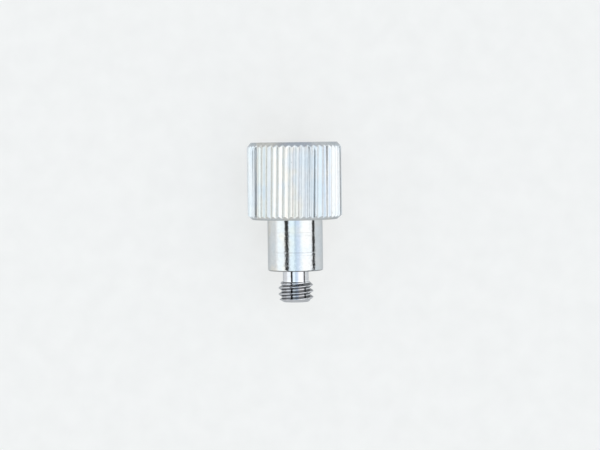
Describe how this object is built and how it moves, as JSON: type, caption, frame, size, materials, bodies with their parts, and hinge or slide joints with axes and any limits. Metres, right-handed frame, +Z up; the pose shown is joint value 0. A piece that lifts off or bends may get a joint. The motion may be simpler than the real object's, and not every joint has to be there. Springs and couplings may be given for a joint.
{
  "type": "thumb screw",
  "caption": "Knurled thumb screw with a tall cylindrical head, a plain shoulder, a reduced neck and a short metric thread, for closing covers by hand.",
  "frame": {"origin": "on the screw's axis, in the plane of the bearing face under the head", "axes": "+Y along the axis towards the head's end, -Y towards the threaded tip, +Z up as the screw lies on a table"},
  "size_m": [0.0106, 0.018, 0.0106],
  "materials": {
    "zinc_plated_steel": "gloss"
  },
  "bodies": {
    "root": {"thumb_screw": "zinc_plated_steel"}
  },
  "joints": []
}
